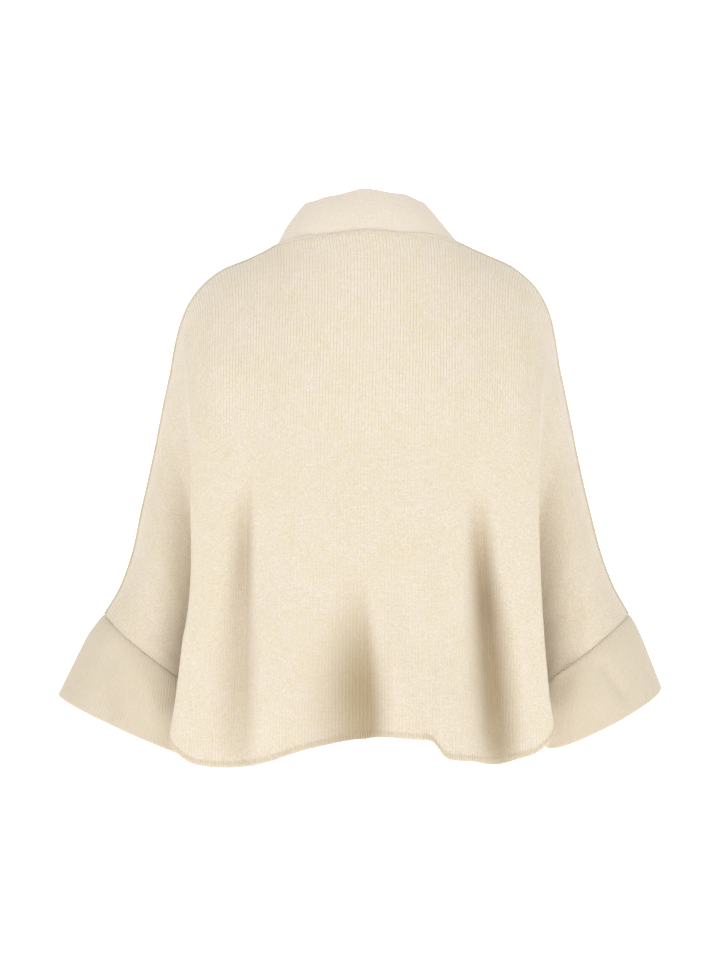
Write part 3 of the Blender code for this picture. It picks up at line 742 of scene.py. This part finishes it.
halfAt = np.arange(0, cut["cuffSeam"] + 0.1, panelMesh["columnStep"])
backAt = np.concatenate([-halfAt[:0:-1], halfAt])
back, backGrid, backNormal = makePanel("backKnit", backAt, backWhole, pastBackNeck, backFolds, (0, 1, 0), 1)
frontColumns = round((cut["cuffSeam"] - cut["frontEdge"]) / panelMesh["columnStep"])
frontAt = np.linspace(cut["frontEdge"], cut["cuffSeam"], frontColumns + 1)
fronts = {}
for sideName, side in (("Left", 1), ("Right", -1)):
    fronts[sideName] = makePanel(
        "front" + sideName + "Knit", frontAt, frontWhole, pastFrontNeck, frontFolds, (0, -1, 0), side)
print("panels made")

# cuffs: folded double, ribbed along the arm, flared to the mouth
cuff = {
    "ribs": 124, "thickness": 4.2, "ribHeight": 0.35 * mm, "unevenness": 0.8 * mm, "seed": 8.0,
    "rows": 16, "firstRow": 0.012, "rowFrom": 0.05, "rowTo": 0.97, "lastRow": 0.99, "searchSteps": 801,
    "halfDepth": 80.0, "bell": 4.0, "proud": 0.3, "ease": 0.1, "seamLip": 0.1, "seamRun": 8.0, "creaseFrom": 0.12,
    "side": {
        1: {"flare": 57.0, "drop": 102.0, "innerShift": 4.0, "innerDrop": 85.0, "sag": 4.0},
        -1: {"flare": 43.0, "drop": 93.0, "innerShift": 22.0, "innerDrop": 71.0, "sag": 12.0},
    },
}


def evenSteps(curve, count, closed):
    # shares of a curve at even lengths along it
    length = np.concatenate([[0], np.cumsum(np.linalg.norm(np.diff(curve, axis=0), axis=1))])
    marks = np.linspace(0, length[-1], count + closed)[:count]
    return np.interp(marks, length, np.linspace(0, 1, len(curve)))


def sleeveRing(at, turn):
    # once round the sleeve at a place on the cut: down the back, then up the front
    place = np.array([float(at)])
    backHalf = panel(place, backWhole, pastBackNeck, np.clip(2 * turn, 0, 1))[0]
    frontHalf = panel(place, frontWhole, pastFrontNeck, np.clip(2 - 2 * turn, 0, 1))[0]
    return np.where((turn <= 0.5)[:, None], backHalf, frontHalf)


def cuffOpening(turn, shape):
    seam = sleeveRing(cut["cuffSeam"], np.array([0.0, 0.5]))
    top = seam[0] + (shape["flare"], 0, -shape["drop"])
    end = seam[1] + (shape["innerShift"], 0, -shape["innerDrop"])
    down = np.where(turn <= 0.5, 2 * turn, 2 - 2 * turn)[:, None]
    depth = np.where(turn <= 0.5, cuff["halfDepth"], -cuff["halfDepth"] * cut["frontDepth"])
    reach = 3 * down * (1 - down)
    share = down * down * (3 - 2 * down)
    return top * (1 - share) + end * share + reach * depth[:, None] * (0, 1, 0) - reach * (0, 0, shape["sag"])


def ribWall(name, grid, normal, piece, look, closed=False):
    # the wall of a rib piece, with its columns counted off in ribs and its sewn edge squarer than its free one
    count = len(grid)
    place = np.arange(count) * look["ribPitch"] / mm / columnsPerRib
    lips = [np.full(count, piece["seamLip"]), np.ones(count)]
    whole = np.ones(grid.shape[:2])
    return knitWall(name, grid, normal, piece["thickness"], lips, place, whole, closed=closed, innerStep=2)


def makeCuff(name, side):
    fine = sleeveRing(cut["cuffSeam"], np.linspace(0, 1, cuff["searchSteps"]))
    turn = evenSteps(fine, columnsPerRib * cuff["ribs"], True)
    seam = sleeveRing(cut["cuffSeam"], turn)
    before = sleeveRing(cut["cuffSeam"] - cuff["seamRun"], turn)
    seamNormal = np.cross(seam - before, np.roll(seam, -1, axis=0) - np.roll(seam, 1, axis=0))
    seamNormal /= np.linalg.norm(seamNormal, axis=1, keepdims=True)
    if seamNormal[0, 0] < 0:
        seamNormal = -seamNormal
    opening = cuffOpening(turn, cuff["side"][side])
    middle = np.linspace(cuff["rowFrom"], cuff["rowTo"], cuff["rows"])
    rows = np.concatenate([[0, cuff["firstRow"]], middle, [cuff["lastRow"], 1]])
    run = np.linalg.norm(opening - seam, axis=1)[:, None]
    rise = np.maximum(rows[None, :], (cut["seamGap"] + cuff["ease"]) / run)[:, :, None]
    grid = seam[:, None] * (1 - rise) + opening[:, None] * rise
    normal = normalsOf(grid, seamNormal[len(turn) // 2], closed=True)
    normal[:, :2] = seamNormal[:, None]
    bell = cuff["proud"] + cuff["bell"] * np.sin(np.pi * np.sqrt(rows))
    lift = bell[None, :] + creaseLift(grid * (side, 1, 1)) * smoothStep(0, cuff["creaseFrom"], rows)
    grid = grid + normal * lift[:, :, None]
    grid, normal = grid * (side, 1, 1), normal * (side, 1, 1)
    thing = ribWall(name, grid, normal, cuff, cuffLook, closed=True)
    return ribbed(thing, cuffLook, cuff, cuff["seed"] + side, cuffWool), grid, normal


cuffs = {
    "Left": makeCuff("cuffLeftRib", 1),
    "Right": makeCuff("cuffRightRib", -1),
}
print("cuffs made")

# collar and front bands: offset of the free edge from the seam, by distance from the centre back
bandEdge = mirrored({
    "at": (0, 70, 130, 180, 260, 400, 900),
    "offsetX": (0, -22, -39, -41, -42, -44, -44),
    "offsetY": (-16, -12, 0, -8, -20, -3, -1),
    "offsetZ": (55, 52.7, 51.4, 42, 14, 0, 0),
})
collar = {
    "end": 182.0, "thickness": 5.0, "bell": 3.5, "sideBell": 1.5, "bellBetween": (60, 120), "softness": 25, "gap": 0.9,
    "rows": 14, "rowTo": 0.94, "lastRow": 0.98, "searchSteps": 601, "seamLip": 0.4,
    "ribHeight": 0.35 * mm, "unevenness": 0.4 * mm, "seed": 21.0,
}
band = {
    "thickness": 3.8, "gap": 0.9, "startGap": 0.9, "rows": 10, "rowTo": 0.93, "lastRow": 0.98, "searchSteps": 200,
    "seamLip": 0.4, "ribHeight": 0.35 * mm, "unevenness": 0.4 * mm, "seed": 31.0,
}


def neckSeam(at):
    # the sewn edge of the neck, by distance from the centre back along it
    reach = np.abs(at)
    top = np.array([0.0])
    behind = panel(np.minimum(reach, cut["neckHalf"]), backWhole, pastBackNeck, top)[:, 0]
    across = cut["neckHalf"] - (reach - cut["neckHalf"]) * cut["neckStretch"]
    across = np.clip(across, cut["frontEdge"], cut["neckHalf"])
    before = panel(across, frontWhole, pastFrontNeck, top)[:, 0]
    seam = np.where((reach < cut["neckHalf"])[:, None], behind, before)
    seam[:, 0] *= np.where(at < 0, -1, 1)
    return seam


leftDip = {"at": (0, 40, 75, 105, 130), "down": (0, 1.5, 3.2, 3.0, 0)}  # the collar's left end has sunk


def freeEdge(at, seam):
    # the edge away from the seam, which stands up behind and lies down the front
    columns = [through(bandEdge["at"], bandEdge["offset" + axis], at) for axis in "XYZ"]
    columns[2] = columns[2] - through(leftDip["at"], leftDip["down"], np.clip(at, 0, leftDip["at"][-1]))
    return seam + np.stack(columns, axis=-1)


def softened(curve, width):
    # a running mean over width columns, ends kept
    kernel = np.hanning(width + 2)[1:-1]
    padded = np.pad(curve, ((width // 2, width // 2), (0, 0)), mode="reflect", reflect_type="odd")
    return np.stack([np.convolve(padded[:, axis], kernel / kernel.sum(), "valid") for axis in range(3)], axis=-1)


def stripRows(piece):
    return np.concatenate([np.linspace(0, piece["rowTo"], piece["rows"]), [piece["lastRow"], 1]])


def strip(seam, edge, rows, clearance):
    run = np.linalg.norm(edge - seam, axis=1)
    rise = np.maximum(rows[None, :], clearance / run[:, None])[:, :, None]
    return seam[:, None] * (1 - rise) + edge[:, None] * rise


def makeCollar():
    fine = np.linspace(-collar["end"], collar["end"], collar["searchSteps"])
    curve = neckSeam(fine)
    length = np.linalg.norm(np.diff(curve, axis=0), axis=1).sum()
    ribs = round(length * mm / collarLook["ribPitch"])
    share = evenSteps(curve, columnsPerRib * ribs + 1, False)
    at = collar["end"] * (2 * share - 1)
    seam = neckSeam(at)
    edge = softened(freeEdge(at, seam), collar["softness"])
    rows = stripRows(collar)
    grid = strip(seam, edge, rows, collar["gap"])
    normal = normalsOf(grid, (0, 1, 0))
    aside = smoothStep(*collar["bellBetween"], np.abs(at))
    bell = collar["bell"] + (collar["sideBell"] - collar["bell"]) * aside
    grid = grid + normal * (bell[:, None] * np.sin(np.pi * rows))[:, :, None]
    thing = ribWall("collarRib", grid, normal, collar, collarLook)
    return ribbed(thing, collarLook, collar, collar["seed"], collarWool), grid, normal


def makeBand(name, side):
    # on from the collar's end, down the sloping neck edge and then the front edge
    grid = fronts["Left"][1]
    upper = np.linspace(cut["neckHalf"], cut["frontEdge"], band["searchSteps"])
    reach = cut["neckHalf"] + (cut["neckHalf"] - upper) / cut["neckStretch"]
    start = collar["end"] + band["startGap"]
    reach = reach[reach > start]
    seam = np.concatenate([neckSeam(reach), grid[0, 1:]])
    below = np.cumsum(np.linalg.norm(np.diff(grid[0], axis=0), axis=1))
    reach = np.concatenate([reach, reach[-1] + below])
    ribs = round(np.linalg.norm(np.diff(seam, axis=0), axis=1).sum() * mm / collarLook["ribPitch"])
    share = evenSteps(seam, columnsPerRib * ribs + 1, False) * (len(seam) - 1)
    index = np.arange(len(seam))
    seam = np.stack([np.interp(share, index, seam[:, axis]) for axis in range(3)], axis=-1)
    reach = np.interp(share, index, reach)
    edge = freeEdge(reach, seam)
    grid = strip(seam, edge, stripRows(band), band["gap"])
    normal = normalsOf(grid, (0, -1, 0))
    grid, normal = grid * (side, 1, 1), normal * (side, 1, 1)
    thing = ribWall(name, grid, normal, band, collarLook)
    return ribbed(thing, collarLook, band, band["seed"] + side, collarWool), grid, normal


collarPiece, collarGrid, collarNormal = makeCollar()
bands = {name: makeBand("band" + name + "Rib", side) for name, side in (("Left", 1), ("Right", -1))}
print("collar and bands made")

# sewing: rows of yarn legs along the hem and the collar seam
stitchLook = {
    **bodyLook, "pale": (0.69, 0.605, 0.47), "warm": (0.66, 0.56, 0.42), "fibreShade": 0.3, "fibreBump": 0.3,
}
# the link stitches' wool is a lighter copy of the collar's: painted light on the roll along the collar seam
linkLook = {**collarLook, "pale": (0.80, 0.73, 0.64), "warm": (0.79, 0.72, 0.61), "fibreShade": 0.2}
stitchWool = wool("stitchWool", stitchLook)
linkWool = wool("linkWool", linkLook)
hemStitch = {
    "Pitch": 3.3 * mm, "Length": 8.5 * mm, "Width": 1.4 * mm, "Height": 1.4 * mm, "Slant": 0.0,
    "Shift": -3.5 * mm, "Lift": 0.25 * mm, "Jitter": 0.18, "Seed": 5,
}
linkStitch = {
    "Pitch": 2.9 * mm, "Length": 7.5 * mm, "Width": 3.1 * mm, "Height": 3.4 * mm, "Slant": 0.15,
    "Shift": 1.6 * mm, "Lift": 0.6 * mm, "Jitter": 0.1, "Seed": 9,
}


def stitchLine(name, points, face, down, values, material):
    count = len(points)
    thing = meshObject(name, points, [], {"faceWay": face, "downWay": down})
    thing.data.edges.add(count - 1)
    ends = np.stack([np.arange(count - 1), np.arange(1, count)], axis=-1)
    thing.data.edges.foreach_set("vertices", ends.ravel().astype(np.int32))
    thing.data.update()
    return grown(thing, stitchRow, values, material)


def hemLine(name, at, grid, normal):
    unsewn = np.abs(at) < cut["hemCorner"]
    down = grid[:, -1] - grid[:, -3]
    down /= np.linalg.norm(down, axis=1, keepdims=True)
    return stitchLine(name, grid[unsewn, -1], normal[unsewn, -1], down[unsewn], hemStitch, stitchWool)


hems = {"back": hemLine("backHemStitch", backAt, backGrid, backNormal)}
for sideName in fronts:
    hems[sideName] = hemLine("front" + sideName + "HemStitch", frontAt, *fronts[sideName][1:])
linkDown = collarGrid[:, 0] - collarGrid[:, 2]
linkDown /= np.linalg.norm(linkDown, axis=1, keepdims=True)
links = stitchLine("collarLinkStitch", collarGrid[:, 0], collarNormal[:, 2], linkDown, linkStitch, linkWool)
print("stitches made")

dressed(back, "back")
dressed(hems["back"], None)
for sideName in ("Left", "Right"):
    lower = sideName.lower()
    dressed(fronts[sideName][0], "front_" + lower)
    dressed(hems[sideName], None)
    dressed(cuffs[sideName][0], "cuff_" + lower)
    dressed(bands[sideName][0], "band_" + lower)
dressed(collarPiece, "collar")
dressed(links, None)

# camera at the photograph's place: level, four metres behind the back
cameraPlace = {"at": (0.007, 4.0, -0.308), "lens": 115.4}
cameraData = bpy.data.cameras.new("photoCamera")
cameraData.lens = cameraPlace["lens"]
camera = bpy.data.objects.new("photoCamera", cameraData)
camera.location = cameraPlace["at"]
camera.rotation_euler = (math.pi / 2, 0, math.pi)
bpy.context.scene.collection.objects.link(camera)
bpy.context.scene.camera = camera

# a pale floor that bends up into a wall behind the garment, with soft light from all round
studio = {
    "world": 0.8, "floorLevel": -1.42, "floorFrom": 4.5, "wallAt": -7.0, "wallHeight": 5.0, "halfWidth": 9.0,
    "bend": 2.5, "bendSteps": 24, "paint": (0.93, 0.93, 0.93, 1), "glow": 0.85, "aim": (0.0, 0.0, -0.33),
}
lamps = (
    {"name": "keyLamp", "at": (0.8, 1.9, 2.0), "size": 1.3, "power": 15.0},
    {"name": "fillLamp", "at": (-1.1, 2.1, 1.3), "size": 1.3, "power": 8.5},
    {"name": "frontLamp", "at": (0.0, -3.0, 1.4), "size": 2.4, "power": 2.5},
)


def makeStudio():
    world = bpy.data.worlds.new("studio")
    world.use_nodes = True
    shade = world.node_tree.nodes["Background"]
    shade.inputs["Color"].default_value = (1, 1, 1, 1)
    shade.inputs["Strength"].default_value = studio["world"]
    bpy.context.scene.world = world
    level, wall, bend = studio["floorLevel"], studio["wallAt"], studio["bend"]
    profile = [(studio["floorFrom"], level)]
    for angle in np.linspace(0, math.pi / 2, studio["bendSteps"]):
        profile.append((wall + bend * (1 - math.sin(angle)), level + bend * (1 - math.cos(angle))))
    profile.append((wall, studio["wallHeight"]))
    points = [(x, y, z) for y, z in profile for x in (-studio["halfWidth"], studio["halfWidth"])]
    faces = [(2 * k, 2 * k + 2, 2 * k + 3, 2 * k + 1) for k in range(len(profile) - 1)]
    mesh = bpy.data.meshes.new("paleFloor")
    mesh.from_pydata(points, [], faces)
    mesh.shade_smooth()
    floor = bpy.data.objects.new("paleFloor", mesh)
    bpy.context.scene.collection.objects.link(floor)
    paint = bpy.data.materials.new("palePaint")
    paint.use_nodes = True
    coat = paint.node_tree.nodes["Principled BSDF"]
    coat.inputs["Base Color"].default_value = studio["paint"]
    coat.inputs["Roughness"].default_value = 1.0
    coat.inputs["Specular IOR Level"].default_value = 0.0
    coat.inputs["Emission Color"].default_value = (1, 1, 1, 1)
    coat.inputs["Emission Strength"].default_value = studio["glow"]
    mesh.materials.append(paint)
    for lamp in lamps:
        data = bpy.data.lights.new(lamp["name"], "AREA")
        data.shape, data.size, data.energy = "SQUARE", lamp["size"], lamp["power"]
        light = bpy.data.objects.new(lamp["name"], data)
        light.location = lamp["at"]
        aim = Vector(studio["aim"]) - Vector(lamp["at"])
        light.rotation_euler = aim.to_track_quat("-Z", "Y").to_euler()
        bpy.context.scene.collection.objects.link(light)
    bpy.context.scene.view_settings.view_transform = "Standard"


makeStudio()
print("studio ready")

# the cut of the panels, by their wales
longest, backArea = cutSize(backGrid, panelMesh["columnStep"])
for sideName in fronts:
    longest, area = cutSize(fronts[sideName][1], panelMesh["columnStep"])
print("cut sizes", longest, backArea)
